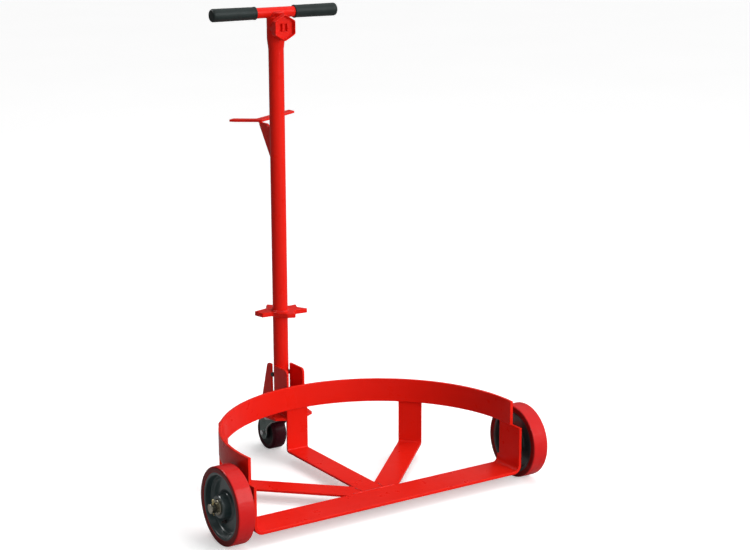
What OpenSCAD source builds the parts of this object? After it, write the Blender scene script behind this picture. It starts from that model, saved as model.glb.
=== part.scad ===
/* [Drum ring] */
// Inner radius of the open ring that a drum stands in
ring_in_r = 311; // [306:0.5:316]
// Thickness of the ring band
ring_t = 6.35; // [5:0.05:8]
// Height of the ring band
ring_h = 50.8; // [44:0.2:56]
// Height of the band's lower edge above the floor
ring_z = 121.3; // [116:0.1:126]
// How far the right end of the ring runs past the half circle, in degrees
ring_over_right = 5.4; // [3:0.1:7]
// How far the left end of the ring runs past the half circle, in degrees
ring_over_left = 6.5; // [3:0.1:7]

/* [Crossbar] */
// Width of the flat bar bent up into the crossbar and side plates
bar_w = 76.2; // [70:0.1:80]
// Thickness of the crossbar
bar_t = 6.35; // [5:0.05:8]
// Height of the crossbar's top face above the floor
bar_top_z = 29; // [27:0.5:31]
// Front edge of the crossbar, forward of the ring's centre
bar_front = 59.5; // [57:0.5:62]
// Inside radius of the two bends
bar_bend_r = 12; // [8:0.5:14]
// How far the side plates are cut back from the crossbar's rear edge
plate_cut = 7.5; // [5:0.5:9]

/* [Straps] */
// Width of the three floor straps
strap_w = 51; // [46:1:55]
// Thickness of the floor straps
strap_t = 5; // [4:0.5:6]
// Angle of the left strap from the centre strap
strap_angle_left = 45.6; // [42:0.2:49]
// Angle of the right strap from the centre strap
strap_angle_right = 44.8; // [42:0.2:49]

/* [Wheels] */
// Radius of the two load wheels
wheel_r = 77.2; // [74:0.1:78]
// Width of their treads
wheel_w = 36.5; // [34:0.5:38]
// Radius of the load wheel axles
axle_r = 9.5; // [9:0.1:10]
// Radial running clearance of wheels and swivel
run_clear = 0.06; // [0.03:0.01:0.09]

/* [Caster] */
// Radius of the swivel caster's wheel
caster_r = 38.5; // [37:0.5:39]
// Width of the swivel caster's wheel
caster_w = 33; // [28:0.5:34]
// Offset of the caster axle behind the kingpin
caster_trail = 27; // [25:0.5:30]

/* [Handle] */
// Outside radius of the handle post
post_r = 16.2; // [15.5:0.1:16.4]
// Height of the T-bar's axis above the floor
tbar_z = 960.8; // [955:0.2:970]
// Radius of the T-bar tube
tbar_r = 11; // [10:0.1:12]
// Half the length over both grips
tbar_half = 147.8; // [130:0.1:160]
// How far the T-bar sits off the post's centre, along its own length
tbar_off = -3; // [-5:0.5:5]
// Radius of the grips
grip_r = 13.6; // [12.7:0.1:15]

/* [Hidden] */
red = [0.86, 0.10, 0.07];
dark = [0.13, 0.14, 0.14];
zinc = [0.62, 0.63, 0.63];
ring_out_r = ring_in_r + ring_t;
bar_rear = bar_w - bar_front;
bar_bot_z = bar_top_z - bar_t;
axle_y = -10;
wheel_in = 329;
wheel_mid = wheel_in + wheel_w / 2;
hub_r = 66;
hub_half = 21;
axle_end = 385;
strap_back = ring_out_r + strap_t - 0.6;
strap_top = bar_top_z;
strap_bot = strap_top - strap_t;
conv_y = -8;
plate_z = 95;
plate_t = 6;
post_y = 384;
king_y = 402;
cax_y = king_y + caster_trail;
cheek_in = 17;
cheek_t = 5;
cheek_top = 205;
pin_z = 183;
pin_r = 5;
slot_w = 11;
post_in_r = 12.83;
front_y = axle_y - wheel_r;
rear_y = 551;
shift_y = -(front_y + rear_y) / 2;

// Everything is laid out from the ring's centre, then moved so that the
// origin is under the middle of the whole object.
module place() { translate([0, shift_y, 0]) children(); }

// A round bar along X between two stations
module bar_x(r, x0, x1, y, z, fn = 64) {
  translate([x0, y, z]) rotate([0, 90, 0]) cylinder(r = r, h = x1 - x0, $fn = fn);
}
// A round bar along Y between two stations
module bar_y(r, y0, y1, x, z, fn = 64) {
  translate([x, y1, z]) rotate([90, 0, 0]) cylinder(r = r, h = y1 - y0, $fn = fn);
}
// A plate drawn in the Y-Z plane and thickened along X
module plate_yz(x0, t) {
  translate([x0, 0, 0]) rotate([90, 0, 90]) linear_extrude(height = t) children();
}
function corner(cx, cy, r, a0, a1, n = 6) = [for (i = [0:n]) [cx + r * cos(a0 + (a1 - a0) * i / n), cy + r * sin(a0 + (a1 - a0) * i / n)]];

// ---- frame ----
module ring_band() color(red) place()
  translate([0, 0, ring_z]) rotate([0, 0, -ring_over_right])
    rotate_extrude(angle = 180 + ring_over_right + ring_over_left, $fn = 240)
      polygon([[ring_in_r + 0.8, 0], [ring_out_r - 0.8, 0], [ring_out_r, 0.8], [ring_out_r, ring_h - 0.8],
        [ring_out_r - 0.8, ring_h], [ring_in_r + 0.8, ring_h], [ring_in_r, ring_h - 0.8], [ring_in_r, 0.8]]);

module yoke_profile() {
  ro = bar_bend_r + bar_t;
  xo = ring_in_r + bar_t;
  zb = bar_bot_z;
  difference() {
    polygon(concat([[xo, ring_z]], corner(xo - ro, zb + ro, ro, 0, -90, 12), corner(-xo + ro, zb + ro, ro, -90, -180, 12), [[-xo, ring_z]]));
    polygon(concat([[ring_in_r, ring_z + 1]], corner(ring_in_r - bar_bend_r, bar_top_z + bar_bend_r, bar_bend_r, 0, -90, 10),
      corner(-ring_in_r + bar_bend_r, bar_top_z + bar_bend_r, bar_bend_r, -90, -180, 10), [[-ring_in_r, ring_z + 1]]));
  }
}
module crossbar_yoke() color(red) place() difference() {
  translate([0, bar_rear, 0]) rotate([90, 0, 0]) linear_extrude(height = bar_w) yoke_profile();
  for (s = [-1, 1]) translate([s * ring_out_r - 12, bar_rear - plate_cut, 48]) cube([24, plate_cut + 5, 90]);
  bar_x(axle_r, -ring_in_r - 20, -ring_in_r + 5, axle_y, wheel_r);
  bar_x(axle_r, ring_in_r - 5, ring_in_r + 20, axle_y, wheel_r);
}

// A floor strap running out along +Y from the convergence point and turning
// up behind the ring band
module strap_solid(y0, ro) {
  plate_yz(-strap_w / 2, strap_w)
    polygon(concat([[y0, strap_bot]], corner(ro - 8, strap_bot + 8, 8, -90, 0, 8),
      [[ro, ring_z + ring_h - 8], [ro - strap_t, ring_z + ring_h - 8]],
      corner(ro - 8, strap_bot + 8, 8 - strap_t, 0, -90, 6), [[y0, strap_top]]));
}
module strap_centre() color(red) place() difference() {
  strap_solid(bar_rear, strap_back);
  translate([0, 0, ring_z - 6]) cylinder(r = ring_out_r, h = ring_h + 12, $fn = 240);
}

function side_reach(a) = let (c = -conv_y * cos(a), h = -conv_y * sin(a)) sqrt(pow(ring_out_r, 2) - pow(h, 2)) + c;
module side_strap(s, a) difference() {
  translate([0, conv_y, 0]) rotate([0, 0, -s * a]) strap_solid(-20, side_reach(a) + strap_t - 0.6);
  translate([-strap_w / 2, -150, 0]) cube([strap_w, 600, 60]);
  translate([-200, -200, 0]) cube([400, 200 + bar_rear, 60]);
  translate([0, 0, ring_z - 6]) cylinder(r = ring_out_r, h = ring_h + 12, $fn = 240);
}
module strap_left() color(red) place() side_strap(-1, strap_angle_left);
module strap_right() color(red) place() side_strap(1, strap_angle_right);

module caster_mount_plate() color(red) place() difference() {
  translate([0, 0, plate_z]) linear_extrude(height = plate_t)
    polygon(concat([[-26, strap_back], [26, strap_back], [46, strap_back + 10.5], [51, strap_back + 43]],
      corner(43, king_y + 37, 8, 0, 90, 5), corner(-43, king_y + 37, 8, 90, 180, 5), [[-51, strap_back + 43], [-46, strap_back + 10.5]]));
  for (sx = [-1, 1], sy = [-1, 1]) translate([sx * 38, king_y + sy * 22, plate_z - 1]) cylinder(r = 4.2, h = plate_t + 2, $fn = 32);
  translate([0, king_y, plate_z - 1]) cylinder(r = 8, h = 2.5, $fn = 40);
}

module cheek(x0) plate_yz(x0, cheek_t) difference() {
  polygon(concat([[strap_back, plate_z + plate_t], [strap_back, cheek_top - 9]], corner(strap_back + 9, cheek_top - 9, 9, 180, 90, 6),
    corner(post_y + 14, cheek_top - 8, 8, 90, 17, 6), [[post_y + 54, plate_z + plate_t]]));
  translate([post_y, plate_z + 46]) circle(r = slot_w / 2, $fn = 40);
  translate([post_y - slot_w / 2, plate_z + 46]) square([slot_w, cheek_top]);
}
module cheek_left() color(red) place() cheek(-cheek_in - cheek_t);
module cheek_right() color(red) place() cheek(cheek_in);
module handle_spigot() color(red) place() translate([0, post_y, plate_z + plate_t]) union() {
  cylinder(r = post_in_r - 0.08, h = 62, $fn = 64);
  translate([0, 0, 62]) cylinder(r1 = post_in_r - 0.08, r2 = post_in_r - 5, h = 6, $fn = 64);
}

// ---- load wheel axles ----
module axle(s) mirror([s < 0 ? 1 : 0, 0, 0]) difference() {
  union() {
    bar_x(axle_r, ring_in_r, axle_end - 1.5, axle_y, wheel_r);
    translate([axle_end - 1.5, axle_y, wheel_r]) rotate([0, 90, 0]) cylinder(r1 = axle_r, r2 = axle_r - 1.5, h = 1.5, $fn = 64);
  }
  translate([axle_end - 7, axle_y, wheel_r - 15]) cylinder(r = 2, h = 30, $fn = 24);
}
module axle_left() color(zinc) place() axle(-1);
module axle_right() color(zinc) place() axle(1);
module collar(s) mirror([s < 0 ? 1 : 0, 0, 0]) difference() {
  bar_x(15, ring_in_r + bar_t, wheel_mid - hub_half - 0.4, axle_y, wheel_r);
  bar_x(axle_r, ring_in_r, wheel_mid, axle_y, wheel_r);
}
module axle_collar_left() color(red) place() collar(-1);
module axle_collar_right() color(red) place() collar(1);
module washer(s) mirror([s < 0 ? 1 : 0, 0, 0]) difference() {
  bar_x(15.5, wheel_mid + hub_half + 0.6, wheel_mid + hub_half + 3.2, axle_y, wheel_r);
  bar_x(axle_r, wheel_mid, axle_end, axle_y, wheel_r);
}
module axle_washer_left() color(zinc) place() washer(-1);
module axle_washer_right() color(zinc) place() washer(1);
module cotter(s) mirror([s < 0 ? 1 : 0, 0, 0]) translate([axle_end - 7, axle_y, wheel_r]) union() {
  translate([0, 0, -12.5]) cylinder(r = 2, h = 23.5, $fn = 24);
  translate([0, 0, 13.2]) rotate([0, 90, 0]) rotate_extrude($fn = 40) translate([3.1, 0]) circle(r = 1.4, $fn = 20);
  translate([0, 3.4, -12.9]) rotate([65, 0, 0]) translate([0, 0, -4]) cylinder(r = 1.2, h = 8, $fn = 20);
}
module cotter_pin_left() color([0.72, 0.62, 0.35]) place() cotter(-1);
module cotter_pin_right() color([0.72, 0.62, 0.35]) place() cotter(1);

// ---- load wheels, drawn about their own axis with the outer side up ----
module on_axle(s) mirror([s < 0 ? 1 : 0, 0, 0]) translate([wheel_mid, axle_y, wheel_r]) rotate([0, 90, 0]) children();
module tread() {
  h = wheel_w / 2;
  rotate_extrude($fn = 160) polygon(concat([[hub_r, -h + 0.5]], corner(wheel_r - 3.5, -h + 3.5, 3.5, -90, 0, 6), corner(wheel_r - 3.5, h - 3.5, 3.5, 0, 90, 6), [[hub_r, h - 0.5]]));
}
module hub() difference() {
  rotate_extrude($fn = 128) polygon([[16, -hub_half], [21, -hub_half], [22.5, -hub_half + 1.5], [25, -4], [31, -3.2], [53, -3.2], [58, -6], [60.5, -16.8], [hub_r, -16.8],
    [hub_r, 16.8], [60.5, 16.8], [58, 4], [53, 1.2], [31, 2.6], [25.5, 5], [22.5, hub_half - 1.5], [21, hub_half], [16, hub_half]]);
  translate([34, 4, -1]) cylinder(r = 3.1, h = 30, $fn = 24);
}
module bearing() difference() {
  union() {
    translate([0, 0, -hub_half + 1]) cylinder(r = 16, h = 2 * hub_half - 2, $fn = 64);
  }
  translate([0, 0, -30]) cylinder(r = axle_r + run_clear, h = 60, $fn = 64);
  translate([0, 0, -12]) difference() {
    cylinder(r = 14.6, h = 24, $fn = 48);
    translate([0, 0, -1]) cylinder(r = 11.4, h = 26, $fn = 48);
  }
}
module bearing_seal() difference() {
  union() {
    for (z = [-hub_half, hub_half - 1]) translate([0, 0, z]) cylinder(r = 16, h = 1, $fn = 64);
    translate([0, 0, hub_half]) cylinder(r = 14.5, h = 0.2, $fn = 64);
  }
  translate([0, 0, -30]) cylinder(r = axle_r + run_clear, h = 60, $fn = 64);
}
module grease_fitting() translate([34, 4, 0]) union() {
  translate([0, 0, -1]) cylinder(r = 3.1, h = 4.6, $fn = 24);
  translate([0, 0, 3.6]) cylinder(r = 4.4, h = 3, $fn = 6);
  translate([0, 0, 6.6]) cylinder(r1 = 2.9, r2 = 1.9, h = 3.4, $fn = 24);
  translate([0, 0, 10]) cylinder(r = 2.5, h = 1.6, $fn = 24);
}
module tread_left() color([0.75, 0.06, 0.09]) place() on_axle(-1) tread();
module hub_left() color(dark) place() on_axle(-1) hub();
module bearing_left() color(zinc) place() on_axle(-1) bearing();
module bearing_seal_left() color([0.5, 0.42, 0.25]) place() on_axle(-1) bearing_seal();
module grease_fitting_left() color(zinc) place() on_axle(-1) grease_fitting();
module tread_right() color([0.75, 0.06, 0.09]) place() on_axle(1) tread();
module hub_right() color(dark) place() on_axle(1) hub();
module bearing_right() color(zinc) place() on_axle(1) bearing();
module bearing_seal_right() color([0.5, 0.42, 0.25]) place() on_axle(1) bearing_seal();
module grease_fitting_right() color(zinc) place() on_axle(1) grease_fitting();

// ---- swivel caster ----
module caster_top_plate() color(zinc) place() difference() {
  union() {
    translate([0, king_y, plate_z - 3]) linear_extrude(height = 3)
      polygon(concat(corner(40.5, 26.5, 7, 0, 90, 4), corner(-40.5, 26.5, 7, 90, 180, 4), corner(-40.5, -26.5, 7, 180, 270, 4), corner(40.5, -26.5, 7, 270, 360, 4)));
    translate([0, king_y, plate_z - 8]) cylinder(r1 = 23, r2 = 26, h = 5, $fn = 72);
  }
  for (sx = [-1, 1], sy = [-1, 1]) translate([sx * 38, king_y + sy * 22, plate_z - 5]) cylinder(r = 4.2, h = 8, $fn = 32);
  translate([0, king_y, plate_z - 20]) cylinder(r = 6, h = 30, $fn = 48);
}
module caster_kingpin() color(zinc) place() translate([0, king_y, 0]) union() {
  translate([0, 0, 77.7]) cylinder(r = 6, h = plate_z - 77.7, $fn = 48);
  translate([0, 0, plate_z]) cylinder(r = 7.6, h = 1.3, $fn = 40);
  translate([0, 0, 75]) cylinder(r1 = 7, r2 = 9, h = 1.2, $fn = 40);
  translate([0, 0, 76.2]) cylinder(r = 9, h = 1.7, $fn = 40);
}
module at_bolts() for (sx = [-1, 1], sy = [-1, 1]) translate([sx * 38, king_y + sy * 22, 0]) children();
module caster_bolts() color(zinc) place() at_bolts() union() {
  translate([0, 0, plate_z - 10]) cylinder(r = 4, h = 10 + plate_t + 1.2, $fn = 32);
  translate([0, 0, plate_z + plate_t + 1.2]) cylinder(r = 7.2, h = 5, $fn = 6);
}
module caster_bolt_washers() color(zinc) place() at_bolts() difference() {
  translate([0, 0, plate_z + plate_t]) cylinder(r = 8, h = 1.2, $fn = 40);
  translate([0, 0, plate_z]) cylinder(r = 4, h = 20, $fn = 32);
}
module caster_bolt_nuts() color(zinc) place() at_bolts() difference() {
  translate([0, 0, plate_z - 3 - 6.2]) cylinder(r = 7.2, h = 6.2, $fn = 6);
  translate([0, 0, plate_z - 20]) cylinder(r = 4, h = 30, $fn = 32);
}
module fork_leg(x0) plate_yz(x0, 3) difference() {
  union() {
    translate([cax_y + 2, caster_r - 1.5]) circle(r = 15, $fn = 60);
    polygon([[king_y - 33, 82], [king_y + 42, 82], [cax_y + 17.3, caster_r + 30], [cax_y + 17, caster_r - 1.5], [cax_y + 8, caster_r - 10], [cax_y - 12.5, caster_r - 5.5],
      [cax_y - 11.5, caster_r + 6], [king_y + 8, 56.5], [king_y - 12, 72], [king_y - 33, 79]]);
  }
  translate([cax_y, caster_r]) circle(r = 4, $fn = 32);
}
module caster_fork() color(zinc) place() union() {
  difference() {
    union() {
      translate([-21.5, king_y - 33, 79]) cube([43, 75, 3]);
      translate([0, king_y, 79]) cylinder(r = 24, h = 3, $fn = 72);
      translate([0, king_y, 82]) cylinder(r = 21, h = 4.4, $fn = 64);
    }
    translate([0, king_y, 70]) cylinder(r = 6 + run_clear, h = 30, $fn = 48);
  }
  fork_leg(-21.5);
  fork_leg(18.5);
}
module caster_race_cap() color([0.35, 0.36, 0.36]) place() translate([0, king_y, 0]) difference() {
  translate([0, 0, 82]) cylinder(r = 23.4, h = 4.4, $fn = 72);
  translate([0, 0, 80]) cylinder(r = 21, h = 10, $fn = 64);
}
module caster_axle_bolt() color(zinc) place() union() {
  bar_x(4, -21.5, 29, cax_y, caster_r, 32);
  bar_x(6.9, -26.5, -21.5, cax_y, caster_r, 6);
  bar_x(5.2, -27.2, -26.5, cax_y, caster_r, 32);
}
module caster_axle_nut() color(zinc) place() difference() {
  union() {
    bar_x(7.2, 21.5, 26.5, cax_y, caster_r, 6);
    bar_x(5.6, 26.5, 28, cax_y, caster_r, 32);
  }
  bar_x(4, 18, 32, cax_y, caster_r, 32);
}
module caster_bushing() color(zinc) place() difference() {
  bar_x(6, -18.5, 18.5, cax_y, caster_r, 48);
  bar_x(4, -22, 22, cax_y, caster_r, 32);
}
module on_caster() translate([0, cax_y, caster_r]) rotate([0, 90, 0]) children();
module caster_tyre() color([0.15, 0.03, 0.05]) place() on_caster() {
  h = caster_w / 2;
  rotate_extrude($fn = 128) polygon(concat([[28, -h + 1.5], [31, -h + 0.2]], corner(caster_r - 5, -h + 5, 5, -80, 0, 6), corner(caster_r - 5, h - 5, 5, 0, 80, 6), [[31, h - 0.2], [28, h - 1.5]]));
}
module caster_core() color([0.08, 0.08, 0.09]) place() on_caster()
  rotate_extrude($fn = 96) polygon([[6 + run_clear, -18], [10, -18], [11.5, -16], [13, -15], [28, -15], [28, 15], [13, 15], [11.5, 16], [10, 18], [6 + run_clear, 18]]);

// ---- lift-out handle ----
module handle_post() color(red) place() difference() {
  translate([0, post_y, plate_z + plate_t + 0.1]) cylinder(r = post_r, h = tbar_z - 6 - plate_z - plate_t - 0.1, $fn = 72);
  translate([0, post_y, plate_z]) cylinder(r = post_in_r, h = 1000, $fn = 72);
  bar_x(tbar_r, -40, 40, post_y, tbar_z);
  bar_x(pin_r, -40, 40, post_y, pin_z, 40);
}
module tbar_tube() color(red) place() difference() {
  bar_x(tbar_r, tbar_off - tbar_half + 6, tbar_off + tbar_half - 6, post_y, tbar_z);
  bar_x(tbar_r - 2.5, tbar_off - tbar_half, tbar_off + tbar_half, post_y, tbar_z);
}
// A moulded grip: a closed sleeve with a rolled collar and a domed end
module grip(s) translate([tbar_off, 0, 0]) mirror([s < 0 ? 1 : 0, 0, 0]) translate([45.5, post_y, tbar_z]) rotate([0, 90, 0]) {
  L = tbar_half - 45.5;
  g = grip_r;
  rotate_extrude($fn = 72) polygon(concat([[tbar_r, 0], [g - 1, 0]], corner(g - 1, 1, 1, -90, 0, 3), [[g, 4], [g - 0.6, 5], [g - 0.6, 9]],
    [[g - 0.2, 60]],
    corner(g - 5, L - 5, 5, 0, 90, 6), [[0, L], [0, L - 6], [tbar_r, L - 6]]));
}
module grip_left() color(dark) place() grip(-1);
module grip_right() color(dark) place() grip(1);
module cross_pin() color(dark) place() bar_x(pin_r, -cheek_in - cheek_t - 2, cheek_in + cheek_t + 2, post_y, pin_z, 40);

hex_z = 931.5;
module wrench_boss() color(red) place() difference() {
  union() {
    bar_y(18.5, 359, post_y, 0, hex_z);
    translate([0, post_y, hex_z - 25]) cylinder(r = 18.6, h = tbar_z - 8 - hex_z + 25, $fn = 72);
    translate([0, post_y, hex_z - 48]) cylinder(r1 = post_r + 0.3, r2 = 18.6, h = 23, $fn = 72);
  }
  translate([0, post_y, hex_z - 60]) cylinder(r = post_r, h = 120, $fn = 72);
  bar_x(tbar_r, -40, 40, post_y, tbar_z);
}
module hex_wrench_head() color(red) place() difference() {
  translate([0, 359, hex_z]) rotate([90, 0, 0]) rotate([0, 0, 90]) cylinder(r = 27.7, h = 16, $fn = 6);
  translate([0, 351.5, hex_z]) rotate([90, 0, 0]) rotate([0, 0, 90]) cylinder(r = 25.8, h = 12, $fn = 6);
  translate([-8.5, 346, hex_z - 8]) cube([17, 11, 16]);
}
plate_hz = 724.5;
module hook_plate() color(red) place() translate([0, 0, plate_hz]) linear_extrude(height = 5)
  polygon([[-3, 445], [126, 527], [126, 551], [-2, 470], [-42, 500], [-58, 489], [-50, 478.5]]);
module hook_gusset() color(red) place() difference() {
  plate_yz(-6, 6) polygon([[post_y, 646], [post_y, plate_hz - 5], [413, plate_hz - 5], [421, plate_hz], [452, plate_hz], [451, plate_hz - 6], [post_y + 16, 646]]);
  translate([0, post_y, 600]) cylinder(r = post_r, h = 200, $fn = 72);
}
module seal_wrench_plate() color(red) place() difference() {
  translate([0, 0, 314.5]) linear_extrude(height = 9.5)
    polygon([[-51, 406], [-46, 380], [-22, 378], [-16, 364], [-4, 346], [13, 340], [20, 362], [30, 366], [58, 364.5], [45, 389], [54, 410], [37, 408], [22, 414], [13, 430], [1, 444], [-8, 432], [-13, 417], [-28, 412]]);
  translate([0, post_y, 300]) cylinder(r = post_r, h = 40, $fn = 72);
}

ring_band();
crossbar_yoke();
strap_centre();
strap_left();
strap_right();
caster_mount_plate();
cheek_left();
cheek_right();
handle_spigot();
axle_left();
axle_right();
axle_collar_left();
axle_collar_right();
axle_washer_left();
axle_washer_right();
cotter_pin_left();
cotter_pin_right();
caster_top_plate();
caster_kingpin();
caster_bolts();
caster_bolt_nuts();
caster_bolt_washers();
tread_left();
hub_left();
bearing_left();
bearing_seal_left();
grease_fitting_left();
tread_right();
hub_right();
bearing_right();
bearing_seal_right();
grease_fitting_right();
caster_fork();
caster_race_cap();
caster_axle_bolt();
caster_axle_nut();
caster_bushing();
caster_tyre();
caster_core();
handle_post();
tbar_tube();
grip_left();
grip_right();
cross_pin();
wrench_boss();
hex_wrench_head();
hook_plate();
hook_gusset();
seal_wrench_plate();
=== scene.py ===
import bpy, bmesh, math
from mathutils import Vector, Matrix, noise


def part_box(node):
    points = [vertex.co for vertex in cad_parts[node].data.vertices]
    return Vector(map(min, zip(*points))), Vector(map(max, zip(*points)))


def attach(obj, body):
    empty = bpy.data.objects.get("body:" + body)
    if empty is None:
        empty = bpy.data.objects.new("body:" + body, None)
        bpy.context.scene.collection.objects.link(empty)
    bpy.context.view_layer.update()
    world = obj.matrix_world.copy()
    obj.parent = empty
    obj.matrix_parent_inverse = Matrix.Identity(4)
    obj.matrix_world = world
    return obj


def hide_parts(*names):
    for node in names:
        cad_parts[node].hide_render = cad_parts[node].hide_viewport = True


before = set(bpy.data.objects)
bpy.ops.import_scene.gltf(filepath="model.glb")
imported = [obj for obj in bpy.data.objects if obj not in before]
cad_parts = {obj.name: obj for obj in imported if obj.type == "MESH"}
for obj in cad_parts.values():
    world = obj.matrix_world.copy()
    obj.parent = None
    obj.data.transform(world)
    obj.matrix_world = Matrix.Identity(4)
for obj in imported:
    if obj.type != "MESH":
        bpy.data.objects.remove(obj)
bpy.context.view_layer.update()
noise.seed_set(7)  # the weld ripple is the same on every run

# ------------------------------------------------------------------ frame
# Lengths below are in millimetres from the ring's centre; the row frame's
# origin lies further back, so every point goes through W().
_a, _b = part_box("axle_left")
SHIFT = (_a.y + _b.y) * 500.0 + 10.0          # the load wheels' axle is at y = -10


def W(x, y, z):
    return Vector((x * 0.001, (y + SHIFT) * 0.001, z * 0.001))


COLL = bpy.context.scene.collection
sin, cos, pi, rad = math.sin, math.cos, math.pi, math.radians

# -------------------------------------------------------------- materials


def new_mat(name):
    m = bpy.data.materials.new(name)
    m.use_nodes = True
    nt = m.node_tree
    for n in list(nt.nodes):
        nt.nodes.remove(n)
    out = nt.nodes.new("ShaderNodeOutputMaterial")
    bs = nt.nodes.new("ShaderNodeBsdfPrincipled")
    nt.links.new(bs.outputs[0], out.inputs[0])
    tc = nt.nodes.new("ShaderNodeTexCoord")
    return m, nt, bs, tc


def nz(nt, tc, scale, detail=3.0, rough=0.55, vec=None, dist=0.0):
    n = nt.nodes.new("ShaderNodeTexNoise")
    n.inputs["Scale"].default_value = scale
    n.inputs["Detail"].default_value = detail
    n.inputs["Roughness"].default_value = rough
    n.inputs["Distortion"].default_value = dist
    nt.links.new(vec if vec is not None else tc.outputs["Object"], n.inputs["Vector"])
    return n.outputs["Fac"]


def ramp(nt, fac, stops):
    r = nt.nodes.new("ShaderNodeValToRGB")
    el = r.color_ramp.elements
    while len(el) < len(stops):
        el.new(0.5)
    for e, (p, c) in zip(el, stops):
        e.position = p
        e.color = (c[0], c[1], c[2], 1.0) if not isinstance(c, float) else (c, c, c, 1.0)
    nt.links.new(fac, r.inputs["Fac"])
    return r.outputs["Color"]


def mix(nt, fac, a, b, mode="MIX"):
    m = nt.nodes.new("ShaderNodeMix")
    m.data_type = "RGBA"
    m.blend_type = mode
    if isinstance(fac, float):
        m.inputs[0].default_value = fac
    else:
        nt.links.new(fac, m.inputs[0])
    for s, v in ((6, a), (7, b)):
        if isinstance(v, tuple):
            m.inputs[s].default_value = (v[0], v[1], v[2], 1.0)
        else:
            nt.links.new(v, m.inputs[s])
    return m.outputs[2]


def rng(nt, fac, lo, hi, a=0.0, b=1.0):
    m = nt.nodes.new("ShaderNodeMapRange")
    m.inputs["From Min"].default_value = a
    m.inputs["From Max"].default_value = b
    m.inputs["To Min"].default_value = lo
    m.inputs["To Max"].default_value = hi
    nt.links.new(fac, m.inputs["Value"])
    return m.outputs["Result"]


def bump(nt, heights):
    """Chains bumps: (height socket, strength, distance in metres)."""
    last = None
    for h, s, d in heights:
        b = nt.nodes.new("ShaderNodeBump")
        b.inputs["Strength"].default_value = s
        b.inputs["Distance"].default_value = d
        nt.links.new(h, b.inputs["Height"])
        if last is not None:
            nt.links.new(last, b.inputs["Normal"])
        last = b.outputs["Normal"]
    return last


def paint(name, base, deep, rough=0.30, coat=0.05, peel=0.045):
    """Glossy powder coat: faint mottling, orange peel, dust and rubs."""
    m, nt, bs, tc = new_mat(name)
    big = nz(nt, tc, 5.0, 3.0)
    fine = nz(nt, tc, 220.0, 2.0)
    col = ramp(nt, big, [(0.30, deep), (0.62, base)])
    speck = nz(nt, tc, 520.0, 2.0, 0.6)
    col = mix(nt, rng(nt, speck, 0.0, 0.10, 0.35, 0.75), col, tuple(min(1.0, c * 1.15 + 0.004) for c in base))
    nt.links.new(col, bs.inputs["Base Color"])
    scuff = nz(nt, tc, 34.0, 5.0, 0.6)
    nt.links.new(rng(nt, scuff, rough - 0.05, rough + 0.10, 0.3, 0.75), bs.inputs["Roughness"])
    n = bump(nt, [(fine, peel, 0.0006), (nz(nt, tc, 60.0, 2.0), peel * 1.4, 0.0012)])
    nt.links.new(n, bs.inputs["Normal"])
    bs.inputs["IOR"].default_value = 1.45
    bs.inputs["Specular IOR Level"].default_value = 0.10
    bs.inputs["Coat Weight"].default_value = coat
    bs.inputs["Coat Roughness"].default_value = 0.10
    return m


def weld_mat(name, base, deep):
    m, nt, bs, tc = new_mat(name)
    col = ramp(nt, nz(nt, tc, 90.0, 3.0), [(0.35, deep), (0.65, base)])
    nt.links.new(col, bs.inputs["Base Color"])
    nt.links.new(rng(nt, nz(nt, tc, 160.0, 3.0), 0.22, 0.42), bs.inputs["Roughness"])
    nt.links.new(bump(nt, [(nz(nt, tc, 420.0, 3.0), 0.25, 0.0008)]), bs.inputs["Normal"])
    bs.inputs["Specular IOR Level"].default_value = 0.20
    bs.inputs["Coat Weight"].default_value = 0.08
    bs.inputs["Coat Roughness"].default_value = 0.12
    return m


def metal(name, base, deep, rough=0.32, metallic=1.0, scratch=True, spangle=0.0):
    m, nt, bs, tc = new_mat(name)
    mapn = nt.nodes.new("ShaderNodeMapping")
    mapn.inputs["Scale"].default_value = (1.0, 1.0, 14.0)
    nt.links.new(tc.outputs["Object"], mapn.inputs["Vector"])
    grain = nz(nt, tc, 420.0, 4.0, 0.7, vec=mapn.outputs["Vector"])
    blot = nz(nt, tc, 60.0, 4.0, 0.6)
    col = ramp(nt, blot, [(0.32, deep), (0.66, base)])
    if spangle:
        v = nt.nodes.new("ShaderNodeTexVoronoi")
        v.inputs["Scale"].default_value = 240.0
        nt.links.new(tc.outputs["Object"], v.inputs["Vector"])
        col = mix(nt, rng(nt, v.outputs["Distance"], 0.0, spangle), col, tuple(c * 0.6 for c in base))
    nt.links.new(col, bs.inputs["Base Color"])
    bs.inputs["Metallic"].default_value = metallic
    nt.links.new(rng(nt, grain, rough - 0.10, rough + 0.14), bs.inputs["Roughness"])
    nt.links.new(bump(nt, [(grain, 0.08 if scratch else 0.03, 0.0004)]), bs.inputs["Normal"])
    return m


def cast(name, base, deep, worn, coat=0.75):
    """Dark painted casting: pebbled skin, dust in random patches."""
    m, nt, bs, tc = new_mat(name)
    big = nz(nt, tc, 24.0, 5.0, 0.6)
    col = ramp(nt, big, [(0.32, deep), (0.66, base)])
    dust = ramp(nt, nz(nt, tc, 130.0, 6.0, 0.75), [(0.58, 0.0), (0.78, 1.0)])
    col = mix(nt, rng(nt, dust, 0.0, 0.45), col, worn)
    nt.links.new(col, bs.inputs["Base Color"])
    nt.links.new(rng(nt, nz(nt, tc, 80.0, 4.0), 0.26, 0.46), bs.inputs["Roughness"])
    nt.links.new(bump(nt, [(nz(nt, tc, 330.0, 4.0, 0.65), 0.12, 0.0010), (nz(nt, tc, 70.0, 3.0), 0.08, 0.0018)]), bs.inputs["Normal"])
    bs.inputs["Specular IOR Level"].default_value = 0.35
    bs.inputs["Coat Weight"].default_value = coat
    bs.inputs["Coat Roughness"].default_value = 0.10
    return m


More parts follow.
